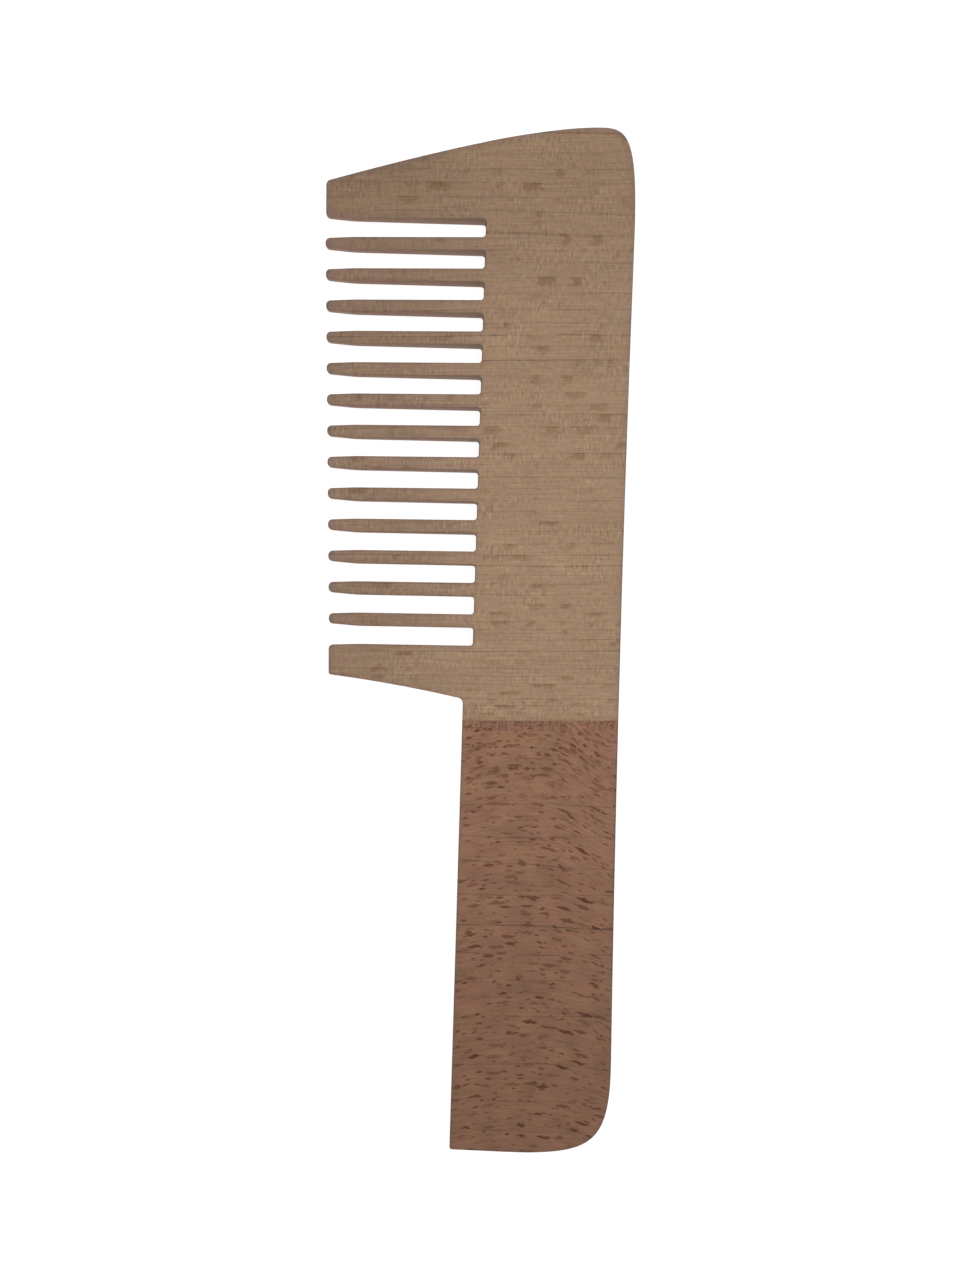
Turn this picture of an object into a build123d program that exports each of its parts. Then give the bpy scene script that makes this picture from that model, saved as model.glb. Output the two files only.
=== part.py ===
from build123d import *

import os
from math import radians, tan

# A flat wooden comb with a handle, in millimetres. It is sawn from one panel, which is a pale
# head board edge-glued to a darker handle board, with the grain of both along the teeth.
# The comb lies on its underside. X runs from the tooth tips (-X) to the back edge (+X), Y from
# the end of the handle (-Y) to the top of the head (+Y), and Z up through the thickness.
# The origin is the centre of the bounding box in X and Y, at the underside.

# The glued panel
comb_length = 180.0
comb_width = 54.6
panel_thickness = 5.2
seam_y = -14.2
glue_thickness = 0.1
arris_radius = 0.35

# Both faces bend over right of the slots, and slope down from there to the tooth tips
bend_start_x = 7.0
bend_radius = 100.0
taper_angle = 3.0

# Slots, counted from the top of the head. They rise slightly towards the tips, and they widen
# over the mouth, where the end of each tooth is sanded narrower, mostly on its lower side.
slot_count = 14
slot_pitch = 5.525
slot_width = 3.18
first_slot_y = 73.98
slot_lean = 0.9
slot_corner_radius = 0.55
mouth_length = 5.0
mouth_widening_up = 0.38
mouth_widening_down = 0.2
mouth_blend_radius = 20.0

# The lines through the slots' closed ends and through the tooth tips, which lean like the handle
slot_end_x = 1.08
slot_end_lean = 1.8
tooth_tip_x = -27.32
tooth_tip_lean = 0.5
tooth_tip_radius = 0.78

# Outline from the upper guard tooth over the crown and down the back edge
top_y = comb_length / 2
upper_guard_slot_corner = (-27.2, first_slot_y)
upper_guard_tip = (-27.15, 81.15)
crown = (20.5, top_y)
crown_reach = 19.6
back_top = (27.12, 70.0)
back_middle = (24.68, 0.0)
back_bottom = (23.02, -74.0)

# Outline from the handle's end up to the neck and the lower guard tooth
end_y = -comb_length / 2
handle_end_reach = 13.6
handle_end = (8.0, end_y)
heel = (-5.4, -89.6)
neck = (-3.0, -10.35)
lower_guard_middle = (-14.0, -8.05)
lower_guard_tip = (-26.75, -6.05)
lower_guard_slot_corner = (-26.75, -0.5)
neck_radius = 1.0
corner_radius = 0.45
guard_corner_radius = 0.9


def slot_top(slot):
    """Y of a slot's upper side at its closed end."""
    return first_slot_y - slot * slot_pitch


def slot_rise(x):
    """How much higher a slot's sides are at X than at its closed end."""
    return (slot_end_x - x) * tan(radians(slot_lean))


def slot_end(y):
    """X of the line through the slots' closed ends at height y."""
    return slot_end_x - (first_slot_y - y) * tan(radians(slot_end_lean))


def tooth_tip(y):
    """X of the line through the tooth tips at height y."""
    return tooth_tip_x + (first_slot_y - y) * tan(radians(tooth_tip_lean))


def corners_beside_slots(sketch, low_x, high_x):
    """The sketch's corners along the slots' sides, from low_x to high_x."""
    beside_slots = sketch.vertices().filter_by_position(Axis.Y, lower_guard_tip[1] + 1, first_slot_y + 1)
    return beside_slots.filter_by_position(Axis.X, low_x, high_x)


# The panel, sawn to the comb's outline with its slots
first_mouth_y = slot_top(0) - slot_width / 2
last_mouth_y = slot_top(slot_count - 1) - slot_width / 2

with BuildPart() as panel:
    with BuildSketch() as outline:
        with BuildLine():
            back_edge = ThreePointArc(back_top, back_middle, back_bottom)
            above_back_edge = back_edge @ 0 - (back_edge % 0) * crown_reach
            below_back_edge = back_edge @ 1 + (back_edge % 1) * handle_end_reach
            Bezier(upper_guard_tip, (-12.9, 84.8), (9.4, top_y), crown)
            Bezier(crown, (25.8, top_y), above_back_edge, back_top)
            Bezier(back_bottom, below_back_edge, (20.2, end_y), handle_end)
            Line(handle_end, heel)
            Line(heel, neck)
            ThreePointArc(neck, lower_guard_middle, lower_guard_tip)
            Polyline(
                lower_guard_tip,
                lower_guard_slot_corner,
                (tooth_tip(last_mouth_y), last_mouth_y),
                (tooth_tip(first_mouth_y), first_mouth_y),
                upper_guard_slot_corner,
                upper_guard_tip,
            )
        make_face()

        for slot in range(slot_count):
            top = slot_top(slot)
            bottom = top - slot_width
            tip_x = tooth_tip((top + bottom) / 2)
            mouth_x = tip_x + mouth_length
            mouth_rise = slot_rise(mouth_x)
            # The mouth's sides run on past the tips by its own length
            outside_x = tip_x - mouth_length
            outside_rise = slot_rise(outside_x)
            outside_top = top + outside_rise + 2 * mouth_widening_up
            outside_bottom = bottom + outside_rise - 2 * mouth_widening_down
            with BuildLine():
                Polyline(
                    (slot_end(top), top),
                    (mouth_x, top + mouth_rise),
                    (outside_x, outside_top),
                    (outside_x, outside_bottom),
                    (mouth_x, bottom + mouth_rise),
                    (slot_end(bottom), bottom),
                    close=True,
                )
            make_face(mode=Mode.SUBTRACT)

        # Each fillet makes the sketch anew, so its corners are looked up again each time
        mouth_start_x = tooth_tip_x + mouth_length
        fillet(corners_beside_slots(outline, tooth_tip_x, tooth_tip_x + 1), tooth_tip_radius)
        fillet(corners_beside_slots(outline, mouth_start_x - 1, mouth_start_x + 1), mouth_blend_radius)
        fillet(corners_beside_slots(outline, slot_end_x - 3, slot_end_x + 1), slot_corner_radius)
        fillet(outline.vertices().sort_by_distance(neck)[0], neck_radius)
        fillet(outline.vertices().sort_by_distance(heel)[0], corner_radius)
        fillet(outline.vertices().sort_by_distance(upper_guard_tip)[0], guard_corner_radius)
        fillet(outline.vertices().sort_by_distance(lower_guard_tip)[0], corner_radius)
    extrude(amount=panel_thickness)

    # Thinned to the tooth tips: only what lies inside this side view is left. The view runs
    # past the outline on both sides.
    side_view_x = comb_width / 2 + 1
    slope_length = comb_width / 2 + 5
    with BuildSketch(Plane.XZ):
        with BuildLine():
            upper_bend = JernArc((bend_start_x, panel_thickness), (-1, 0), bend_radius, taper_angle)
            lower_bend = JernArc((bend_start_x, 0), (-1, 0), bend_radius, -taper_angle)
            upper_end = upper_bend @ 1 + (upper_bend % 1) * slope_length
            lower_end = lower_bend @ 1 + (lower_bend % 1) * slope_length
            Polyline(upper_bend @ 1, upper_end, lower_end, lower_bend @ 1)
            Polyline(upper_bend @ 0, (side_view_x, panel_thickness), (side_view_x, 0), lower_bend @ 0)
        make_face()
    extrude(amount=comb_length, both=True, mode=Mode.INTERSECT)

    # Every arris is broken, round the outline and along the teeth. The lines where the faces
    # start and stop bending stay as they are.
    bend_lines = panel.edges().filter_by(Axis.Y).filter_by_position(Axis.X, 0, bend_start_x + 1)
    fillet(panel.edges().filter_by(Axis.Z, reverse=True) - bend_lines, arris_radius)

# The seam's two faces, with the cured glue between them
glue_top = Plane(origin=(0, seam_y + glue_thickness / 2, 0), x_dir=(1, 0, 0), z_dir=(0, 1, 0))
glue_bottom = glue_top.offset(-glue_thickness)

with BuildPart() as head_board:
    add(panel.part)
    split(bisect_by=glue_top, keep=Keep.TOP)

with BuildPart() as handle_board:
    add(panel.part)
    split(bisect_by=glue_bottom, keep=Keep.BOTTOM)

with BuildPart() as glue_line:
    add(panel.part)
    split(bisect_by=glue_top, keep=Keep.BOTTOM)
    split(bisect_by=glue_bottom, keep=Keep.TOP)

os.makedirs("parts", exist_ok=True)

head_board.part.label = "head_board"
export_step(head_board.part, "parts/head_board.step")
handle_board.part.label = "handle_board"
export_step(handle_board.part, "parts/handle_board.step")
glue_line.part.label = "glue_line"
export_step(glue_line.part, "parts/glue_line.step")
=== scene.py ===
import math

import bpy
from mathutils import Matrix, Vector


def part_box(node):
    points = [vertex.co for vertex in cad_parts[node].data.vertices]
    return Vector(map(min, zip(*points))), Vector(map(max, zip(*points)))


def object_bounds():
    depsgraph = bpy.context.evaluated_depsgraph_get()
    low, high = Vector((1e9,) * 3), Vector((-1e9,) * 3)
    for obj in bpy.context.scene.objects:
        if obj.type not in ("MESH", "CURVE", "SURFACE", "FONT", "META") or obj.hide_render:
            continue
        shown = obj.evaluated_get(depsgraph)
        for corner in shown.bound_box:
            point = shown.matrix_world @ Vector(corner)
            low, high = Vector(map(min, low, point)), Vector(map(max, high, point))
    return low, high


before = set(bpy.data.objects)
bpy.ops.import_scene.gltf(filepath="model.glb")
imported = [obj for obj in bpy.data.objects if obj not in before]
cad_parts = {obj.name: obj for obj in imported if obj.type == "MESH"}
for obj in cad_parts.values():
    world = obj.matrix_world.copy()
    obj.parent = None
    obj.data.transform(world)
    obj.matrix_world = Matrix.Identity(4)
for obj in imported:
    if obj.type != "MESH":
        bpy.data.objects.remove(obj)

# The scene is in metres. The wood's patterns are in millimetres, and colours are linear.
MM = 0.001
cad_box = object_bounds()
glue_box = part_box("glue_line")
tooth_tip_x, handle_end_y = cad_box[0][0] / MM, cad_box[0][1] / MM
back_edge_x, head_top_y = cad_box[1][0] / MM, cad_box[1][1] / MM
seam_y = (glue_box[0][1] + glue_box[1][1]) / 2 / MM

# How far in from its edges the wood is worn and painted with shade, and how deep the bump of the grain
# is
wear_and_shade_reach = 1.7
grain_depth = 0.035


class Graph:
    """The node tree of one material, with a short call for each kind of node used here."""

    def __init__(self, name):
        self.material = bpy.data.materials.new(name)
        self.material.use_nodes = True
        self.tree = self.material.node_tree
        self.tree.nodes.clear()

    def node(self, kind, inputs=(), **settings):
        """A node with these settings. An input is a socket to link from, or a plain value."""
        made = self.tree.nodes.new(kind)
        for key, value in settings.items():
            setattr(made, key, value)
        for key, value in dict(inputs).items():
            if isinstance(value, bpy.types.NodeSocket):
                self.tree.links.new(value, made.inputs[key])
            else:
                made.inputs[key].default_value = value
        return made

    def math(self, operation, first, second=0.0, third=0.0):
        inputs = {0: first, 1: second, 2: third}
        return self.node("ShaderNodeMath", inputs, operation=operation).outputs[0]

    def add(self, first, second):
        return self.math("ADD", first, second)

    def subtract(self, first, second):
        return self.math("SUBTRACT", first, second)

    def times(self, first, *others):
        for other in others:
            first = self.math("MULTIPLY", first, other)
        return first

    def divide(self, first, second):
        return self.math("DIVIDE", first, second)

    def largest(self, first, *others):
        for other in others:
            first = self.math("MAXIMUM", first, other)
        return first

    def absolute(self, value):
        return self.math("ABSOLUTE", value)

    def line(self, value, slope, start):
        """slope * value + start"""
        return self.math("MULTIPLY_ADD", value, slope, start)

    def vary(self, tone, value, strength):
        """The tone, raised or lowered by a value whose middle is 0.5, as a noise's is."""
        return self.line(self.subtract(value, 0.5), strength, tone)

    def step(self, value, low, high, to_low=0.0, to_high=1.0):
        """A smooth step: to_low where value is low, to_high where it is high."""
        made = self.node(
            "ShaderNodeMapRange",
            {"Value": value, "From Min": low, "From Max": high, "To Min": to_low, "To Max": to_high},
            interpolation_type="SMOOTHSTEP",
        )
        return made.outputs["Result"]

    def vector(self, x, y, z=0.0):
        return self.node("ShaderNodeCombineXYZ", {"X": x, "Y": y, "Z": z}).outputs[0]

    def parts(self, vector):
        return self.node("ShaderNodeSeparateXYZ", {0: vector}).outputs

    def noise(self, x, y, size, detail=2.0, seed=0.0):
        """Soft noise from about 0.3 to 0.7, whose blots are about size = (x size, y size) large."""
        at = self.vector(self.times(x, 1 / size[0]), self.times(y, 1 / size[1]), seed)
        inputs = {"Vector": at, "Scale": 1.0, "Detail": detail, "Roughness": 0.55}
        return self.node("ShaderNodeTexNoise", inputs).outputs["Fac"]

    def dice(self, first, second=0.0, seed=0.0):
        """Two random numbers from 0 to 1, the same wherever first and second are the same."""
        at = self.vector(first, second, seed)
        made = self.node("ShaderNodeTexWhiteNoise", {"Vector": at}, noise_dimensions="3D")
        luck = self.node("ShaderNodeSeparateColor", {0: made.outputs["Color"]}).outputs
        return luck[0], luck[1]

    def mix(self, amount, first, second):
        """The number first where amount is 0, and second where it is 1."""
        return self.node("ShaderNodeMix", {0: amount, 2: first, 3: second}, data_type="FLOAT").outputs[0]

    def blend(self, amount, first, second, kind="MIX"):
        """The colour first where amount is 0, and second, or both multiplied, where it is 1."""
        inputs = {0: amount, 6: first, 7: second}
        return self.node("ShaderNodeMix", inputs, data_type="RGBA", blend_type=kind).outputs[2]


def place(graph):
    """The point's place in millimetres, as three numbers."""
    at = graph.parts(graph.node("ShaderNodeTexCoord").outputs["Object"])
    return [graph.times(at[axis], 1 / MM) for axis in range(3)]


def facing(graph):
    """How much the surface is an end across the grain, and how much a side along it, from 0 to 1."""
    normal = graph.parts(graph.node("ShaderNodeTexCoord").outputs["Normal"])
    end = graph.step(graph.absolute(normal[0]), 0.55, 0.8)
    side = graph.step(graph.absolute(normal[1]), 0.55, 0.8)
    return end, side


def near_edge(graph, y):
    """From 0 in the open to 1 along the outline and on the thin teeth.

    It is found from how near the wood's other faces are behind the surface.
    """
    inputs = {"Distance": wear_and_shade_reach * MM}
    behind = graph.node("ShaderNodeAmbientOcclusion", inputs, inside=True, only_local=True, samples=12)
    found = graph.step(behind.outputs["AO"], 0.35, 1.0, to_low=1.0, to_high=0.0)
    # The glued faces at the seam aren't an edge
    from_seam = graph.absolute(graph.subtract(y, seam_y))
    return graph.times(found, graph.step(from_seam, 0.3 * wear_and_shade_reach, wear_and_shade_reach))


def flecks(graph, x, y, seed, cell, half_size, presence):
    """Lens-shaped flecks along X, at most one to a cell of a jittered grid: 0 outside, up to 1 inside.

    A cell and half a fleck are given as (x size, y size). Presence is the share of cells with a fleck.
    """
    at_x = graph.line(x, 1 / cell[0], seed)
    at_y = graph.line(y, 1 / cell[1], seed)
    at = graph.vector(at_x, at_y)
    cells = graph.node("ShaderNodeTexVoronoi", {"Vector": at, "Scale": 1.0}, voronoi_dimensions="2D")
    centre = graph.parts(cells.outputs["Position"])
    luck = graph.node("ShaderNodeSeparateColor", {0: cells.outputs["Color"]}).outputs

    # Long flecks are wider too, but less so
    length = graph.line(luck[0], 0.9, 0.45)
    width = graph.line(length, 0.6, 0.4)
    across = graph.times(graph.subtract(at_x, centre[0]), cell[0] / half_size[0])
    across = graph.divide(across, length)
    up = graph.times(graph.subtract(at_y, centre[1]), cell[1] / half_size[1])
    up = graph.divide(up, width)
    # A lens is wide in the middle and comes to a point at each end
    lens = graph.line(graph.times(across, across), -1.0, 1.0)
    shape = graph.step(graph.subtract(lens, graph.absolute(up)), -0.15, 0.5)

    there = graph.step(luck[1], 1 - presence, 1 - presence + 0.05)
    strength = graph.line(luck[2], 0.75, 0.25)
    return graph.times(shape, there, strength)


def rings(graph, phase, x, seed, width):
    """Growth rings, where the phase goes up by 1 from ring to ring.

    It returns the thin dark line at the end of each ring, which takes up this width of the ring,
    and then how far through its ring the point is, from 0 to 1, and the ring's number.
    """
    part = graph.math("FRACT", phase)
    number = graph.math("FLOOR", phase)
    luck, _ = graph.dice(number, seed=seed)
    line_start = graph.step(part, 1 - width, 1 - width / 2)
    line_end = graph.step(part, 1 - width / 2.5, 1.0, to_low=1.0, to_high=0.0)
    fading = graph.noise(x, number, size=(7.0, 0.37), seed=seed)
    fading = graph.step(fading, 0.36, 0.58, to_low=0.35)
    strength = graph.line(luck, 0.75, 0.25)
    return graph.times(line_start, line_end, fading, strength), part, number


def ray_patches(graph, x, part, number, wobble):
    """Blocky flecks of the rays on a quarter-sawn face. Each lies within one growth ring."""
    spacing = 5.5
    soft_end = 0.22
    offset, _ = graph.dice(number, seed=5.0)
    along = graph.line(x, 1 / spacing, graph.times(offset, 9.0))
    along = graph.add(along, graph.times(wobble, 0.5))
    column = graph.math("FLOOR", along)
    within = graph.math("FRACT", along)
    there, length = graph.dice(column, number, seed=7.0)
    start = graph.line(length, -0.25, 0.35)
    end = graph.line(length, 0.35, 0.6)
    lengthways = graph.times(
        graph.step(graph.subtract(within, start), 0.0, soft_end),
        graph.step(graph.subtract(end, within), 0.0, soft_end),
    )
    edge = graph.line(wobble, 0.9, part)
    crossways = graph.times(
        graph.step(edge, 0.2, 0.7),
        graph.step(part, 0.9, 1.0, to_low=1.0, to_high=0.0),
    )
    return graph.times(lengthways, crossways, graph.step(there, 0.5, 0.9))


def grain_roughness(graph, fibres, worn_and_shaded):
    """The wood is smoother between its fibres and where it is worn."""
    return graph.line(fibres, 0.2, graph.line(worn_and_shaded, -0.08, 0.52))


def finish(graph, colour, roughness, height, depth):
    """The material, with the height as a bump of this depth."""
    bump = graph.node("ShaderNodeBump", {"Strength": 1.0, "Distance": depth * MM, "Height": height})
    shader = graph.node("ShaderNodeBsdfPrincipled", {
        "Base Color": colour,
        "Roughness": roughness,
        "Specular IOR Level": 0.22,
        "Normal": bump.outputs[0],
    })
    graph.node("ShaderNodeOutputMaterial", {"Surface": shader.outputs[0]})
    return graph.material


def pale_beech():
    """The head: quarter-sawn beech, with close ring lines, short ticks across them and ray patches."""
    yellow_wood = (0.33, 0.216, 0.124, 1)
    pink_wood = (0.335, 0.206, 0.132, 1)
    patch_brown = (0.24, 0.135, 0.07, 1)
    scorch_brown = (0.27, 0.14, 0.09, 1)
    worn_and_shaded_brown = (0.23, 0.158, 0.127, 1)
    end_brown = (0.2, 0.142, 0.1, 1)
    side_tint = (1.0, 0.91, 0.94, 1)

    graph = Graph("pale_beech")
    x, y, z = place(graph)
    end, side = facing(graph)

    # Rings get wider with Y, from about 1.3 mm at the seam to 3.1 mm at the top, so their number
    # goes with the logarithm of their width
    ring_growth = 0.017
    middle_ring_width = 1.56
    ring_width = graph.line(y, ring_growth, middle_ring_width)
    phase = graph.times(graph.math("LOGARITHM", ring_width, math.e), 1 / ring_growth)
    drift = graph.noise(x, y, size=(110.0, 9.0), detail=1.0)
    line, part, number = rings(graph, graph.line(drift, 1.6, phase), x, seed=1.0, width=0.16)

    fibres = graph.noise(x, y, size=(8.0, 0.33), detail=3.0, seed=3.0)
    woven = graph.step(graph.noise(x, y, size=(9.0, 5.0), seed=4.0), 0.42, 0.62, to_low=0.25)
    ticks = graph.subtract(graph.noise(x, y, size=(0.38, 1.5), seed=6.0), 0.5)
    ticks = graph.times(ticks, woven)
    broad = graph.noise(x, y, size=(16.0, 9.0), seed=8.0)
    grit = graph.noise(x, y, size=(0.8, 0.7), seed=18.0)
    # Painted highlight: sparse bright specks where the rays would glint
    painted_glints = graph.step(graph.noise(x, y, size=(0.5, 0.5), detail=1.0, seed=9.0), 0.66, 0.76)

    face_tone = graph.vary(1.0, fibres, 0.65)
    face_tone = graph.line(ticks, 1.15, face_tone)
    face_tone = graph.vary(face_tone, grit, 0.45)
    face_tone = graph.vary(face_tone, broad, 0.35)
    face_tone = graph.line(line, -0.36, face_tone)
    face_tone = graph.line(painted_glints, 0.22, face_tone)
    # Painted shade: the upper head and the teeth are a little darker than the middle
    upper_head_shade = graph.step(y, head_top_y - 55.0, head_top_y, to_low=1.0, to_high=0.84)
    teeth = graph.step(x, tooth_tip_x + 7.3, tooth_tip_x + 30.3, to_low=0.85)
    face_tone = graph.times(face_tone, upper_head_shade, teeth)

    side_fibres = graph.noise(x, z, size=(7.0, 0.3), detail=3.0, seed=11.0)
    side_flecks = flecks(graph, x, z, seed=13.0, cell=(2.6, 0.9), half_size=(0.8, 0.14), presence=0.6)
    side_tone = graph.line(side_flecks, -0.25, graph.vary(1.0, side_fibres, 0.4))

    end_pores = graph.noise(y, z, size=(0.22, 0.22), detail=2.0, seed=12.0)
    end_rays = graph.noise(y, z, size=(3.0, 0.16), detail=1.0, seed=14.0)
    end_tone = graph.vary(graph.vary(0.72, end_pores, 0.7), end_rays, 0.4)
    end_tone = graph.line(line, -0.3, end_tone)
    tone = graph.mix(end, graph.mix(side, face_tone, side_tone), end_tone)

    # On the faces there are ray patches, with specks and a stain near the seam
    wobble = graph.subtract(graph.noise(x, y, size=(1.5, 1.0), detail=1.0, seed=2.0), 0.5)
    patches = graph.times(ray_patches(graph, x, part, number, wobble), 0.9)
    near_seam = graph.step(y, seam_y + 1.2, seam_y + 12.2, to_low=1.0, to_high=0.0)
    seam_specks = flecks(graph, x, y, seed=51.0, cell=(1.9, 1.2), half_size=(0.55, 0.24), presence=0.45)
    seam_specks = graph.times(seam_specks, near_seam, 0.8)
    seam_stain = graph.step(y, seam_y, seam_y + 1.8, to_low=0.4, to_high=0.0)
    on_face = graph.subtract(1.0, graph.largest(end, side))
    patches = graph.times(graph.largest(patches, seam_specks, seam_stain), on_face)
    # The ends of the teeth have darker blotches
    scorches = graph.step(graph.noise(x, y, size=(1.0, 5.5), detail=1.0, seed=19.0), 0.58, 0.7)
    near_tips = graph.step(x, tooth_tip_x + 13.3, tooth_tip_x + 21.3, to_low=0.55, to_high=0.0)
    scorches = graph.times(scorches, near_tips)

    hue = graph.step(graph.noise(x, y, size=(2.5, 2.0), detail=1.0, seed=17.0), 0.35, 0.65)
    worn_and_shaded = near_edge(graph, y)
    colour = graph.blend(hue, yellow_wood, pink_wood)
    colour = graph.blend(patches, colour, patch_brown)
    colour = graph.blend(scorches, colour, scorch_brown)
    # Wear, and painted shade along the rounded edges and on the thin teeth: a greyer, darker brown
    colour = graph.blend(graph.times(worn_and_shaded, 0.7), colour, worn_and_shaded_brown)
    colour = graph.blend(graph.times(end, 0.7), colour, end_brown)
    colour = graph.blend(side, colour, side_tint, "MULTIPLY")
    colour = graph.blend(1.0, colour, graph.vector(tone, tone, tone), "MULTIPLY")
    height = graph.line(line, -0.8, graph.add(fibres, ticks))
    return finish(graph, colour, grain_roughness(graph, fibres, worn_and_shaded), height, grain_depth)


def dark_beech():
    """The handle: flat-sawn beech. The ends of its rays are dark dashes, which bow over the middle."""
    brown_wood = (0.236, 0.12, 0.065, 1)
    red_wood = (0.241, 0.115, 0.0685, 1)
    mark_brown = (0.082, 0.022, 0.008, 1)
    worn_and_shaded_brown = (0.18, 0.108, 0.085, 1)
    end_brown = (0.125, 0.08, 0.06, 1)

    graph = Graph("dark_beech")
    x, y, z = place(graph)
    end, side = facing(graph)

    # The grain bows over the middle, and dips most towards the back edge, below the seam
    bow_middle_x = 6.0
    bow_strength = 0.009
    from_middle = graph.subtract(x, bow_middle_x)
    bow = graph.times(from_middle, from_middle, bow_strength)
    near_back = graph.step(x, back_edge_x - 15.3, back_edge_x - 3.3)
    dip = graph.step(y, seam_y - 45.8, seam_y - 10.8, to_low=0.5, to_high=3.5)
    bowed_y = graph.add(graph.add(y, bow), graph.times(near_back, dip))
    roughening = graph.noise(x, y, size=(1.2, 1.0), detail=1.0, seed=16.0)
    bowed_y = graph.line(roughening, 0.9, bowed_y)

    ring_width = 5.2
    drift = graph.noise(x, y, size=(50.0, 14.0), detail=1.0, seed=1.0)
    line, _, _ = rings(graph, graph.line(y, 1 / ring_width, drift), x, seed=2.0, width=0.06)

    dashes = flecks(graph, x, bowed_y, seed=11.0, cell=(3.1, 1.75), half_size=(1.4, 0.31), presence=0.62)
    specks = flecks(graph, x, bowed_y, seed=27.0, cell=(1.9, 1.0), half_size=(0.62, 0.19), presence=0.6)
    dots = flecks(graph, x, bowed_y, seed=41.0, cell=(1.5, 1.2), half_size=(0.62, 0.34), presence=0.65)
    seam_ticks = graph.step(graph.noise(x, y, size=(0.4, 1.5), seed=15.0), 0.5, 0.62, to_high=0.6)
    # Below the seam the dashes give way to rounder, closer dots, and to ticks right under it
    under_seam = graph.step(y, seam_y - 17.8, seam_y - 5.8)
    dashes = graph.times(dashes, graph.line(under_seam, -0.35, 1.0))
    specks = graph.times(specks, 0.85)
    dots = graph.times(dots, under_seam, 0.9)
    seam_ticks = graph.times(seam_ticks, graph.step(y, seam_y - 2.6, seam_y - 0.6))
    on_face = graph.subtract(1.0, graph.largest(end, side))
    marks = graph.times(graph.largest(dashes, specks, dots, seam_ticks), on_face)

    fibres = graph.noise(x, bowed_y, size=(6.0, 0.3), detail=3.0, seed=3.0)
    mottle = graph.noise(x, y, size=(5.0, 4.0), detail=2.0, seed=4.0)
    # Painted highlight: sparse bright specks where the rays would glint
    painted_glints = graph.step(graph.noise(x, y, size=(0.5, 0.4), detail=1.0, seed=9.0), 0.68, 0.8)
    face_tone = graph.vary(1.0, fibres, 0.95)
    face_tone = graph.vary(face_tone, mottle, 0.6)
    face_tone = graph.line(line, -0.5, face_tone)
    face_tone = graph.line(painted_glints, 0.25, face_tone)
    # Painted shade: the handle gets darker towards its end
    handle_end_shade = graph.step(y, handle_end_y + 12.0, seam_y + 2.2, to_low=0.87, to_high=1.1)
    face_tone = graph.times(face_tone, handle_end_shade)

    side_fibres = graph.noise(x, z, size=(7.0, 0.3), detail=3.0, seed=11.0)
    side_tone = graph.vary(1.0, side_fibres, 0.5)

    end_pores = graph.noise(y, z, size=(0.22, 0.22), detail=2.0, seed=12.0)
    end_rays = graph.noise(y, z, size=(0.2, 3.0), detail=1.0, seed=14.0)
    end_tone = graph.vary(graph.vary(0.7, end_pores, 0.7), end_rays, 0.4)
    tone = graph.mix(end, graph.mix(side, face_tone, side_tone), end_tone)

    hue = graph.step(graph.noise(x, y, size=(5.0, 4.0), detail=1.0, seed=17.0), 0.35, 0.65)
    worn_and_shaded = near_edge(graph, y)
    colour = graph.blend(hue, brown_wood, red_wood)
    colour = graph.blend(marks, colour, mark_brown)
    # Wear, and painted shade along the rounded edges: a greyer, darker brown
    colour = graph.blend(graph.times(worn_and_shaded, 0.5), colour, worn_and_shaded_brown)
    colour = graph.blend(graph.times(end, 0.7), colour, end_brown)
    colour = graph.blend(1.0, colour, graph.vector(tone, tone, tone), "MULTIPLY")
    height = graph.line(marks, -1.2, fibres)
    return finish(graph, colour, grain_roughness(graph, fibres, worn_and_shaded), height, grain_depth)


def wood_glue():
    """The cured glue film, which only shows as a thin line round the seam."""
    dark_glue = (0.12, 0.06, 0.033, 1)
    pale_glue = (0.2, 0.115, 0.065, 1)

    graph = Graph("wood_glue")
    x, _, z = place(graph)
    patches = graph.noise(x, z, size=(3.0, 1.0), detail=3.0)
    colour = graph.blend(patches, dark_glue, pale_glue)
    return finish(graph, colour, graph.line(patches, 0.2, 0.35), patches, 0.01)


def floor():
    """A pale floor that glows, as a light table does, so the slots stay bright."""
    half_size = 15.0
    corners = [(-1, -1), (1, -1), (1, 1), (-1, 1)]
    mesh = bpy.data.meshes.new("floor")
    mesh.from_pydata([(x * half_size, y * half_size, 0) for x, y in corners], [], [(0, 1, 2, 3)])
    made = bpy.data.objects.new("floor", mesh)
    bpy.context.scene.collection.objects.link(made)

    graph = Graph("floor")
    shader = graph.node("ShaderNodeBsdfPrincipled", {
        "Base Color": (0.3, 0.3, 0.3, 1),
        "Roughness": 0.9,
        "Specular IOR Level": 0.0,
        "Emission Color": (1, 1, 1, 1),
        "Emission Strength": 0.85,
    })
    graph.node("ShaderNodeOutputMaterial", {"Surface": shader.outputs[0]})
    mesh.materials.append(graph.material)


def light():
    """Even light from all round, and a round soft light overhead that shines straight down."""
    scene = bpy.context.scene
    scene.view_settings.view_transform = "Standard"
    world = bpy.data.worlds.new("studio")
    world.use_nodes = True
    background = world.node_tree.nodes["Background"]
    background.inputs["Color"].default_value = (1, 1, 1, 1)
    background.inputs["Strength"].default_value = 0.4
    scene.world = world

    lamp = bpy.data.lights.new("overhead", "AREA")
    lamp.shape = "DISK"
    lamp.size = 0.4
    lamp.energy = 1.4
    made = bpy.data.objects.new("overhead", lamp)
    made.location = (0.03, 0.02, 0.45)
    scene.collection.objects.link(made)


def camera():
    """Straight above the comb's middle, with the photograph's framing."""
    height_above_comb = 0.271
    data = bpy.data.cameras.new("camera")
    data.sensor_fit = "VERTICAL"
    data.sensor_height = 36.0
    data.lens = 43.45
    data.clip_start = 0.01
    made = bpy.data.objects.new("camera", data)
    made.location = (0, 0, cad_box[1][2] + height_above_comb)
    bpy.context.scene.collection.objects.link(made)
    bpy.context.scene.camera = made


for node, make in (("head_board", pale_beech), ("handle_board", dark_beech), ("glue_line", wood_glue)):
    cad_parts[node].material_slots[0].material = make()
floor()
light()
camera()
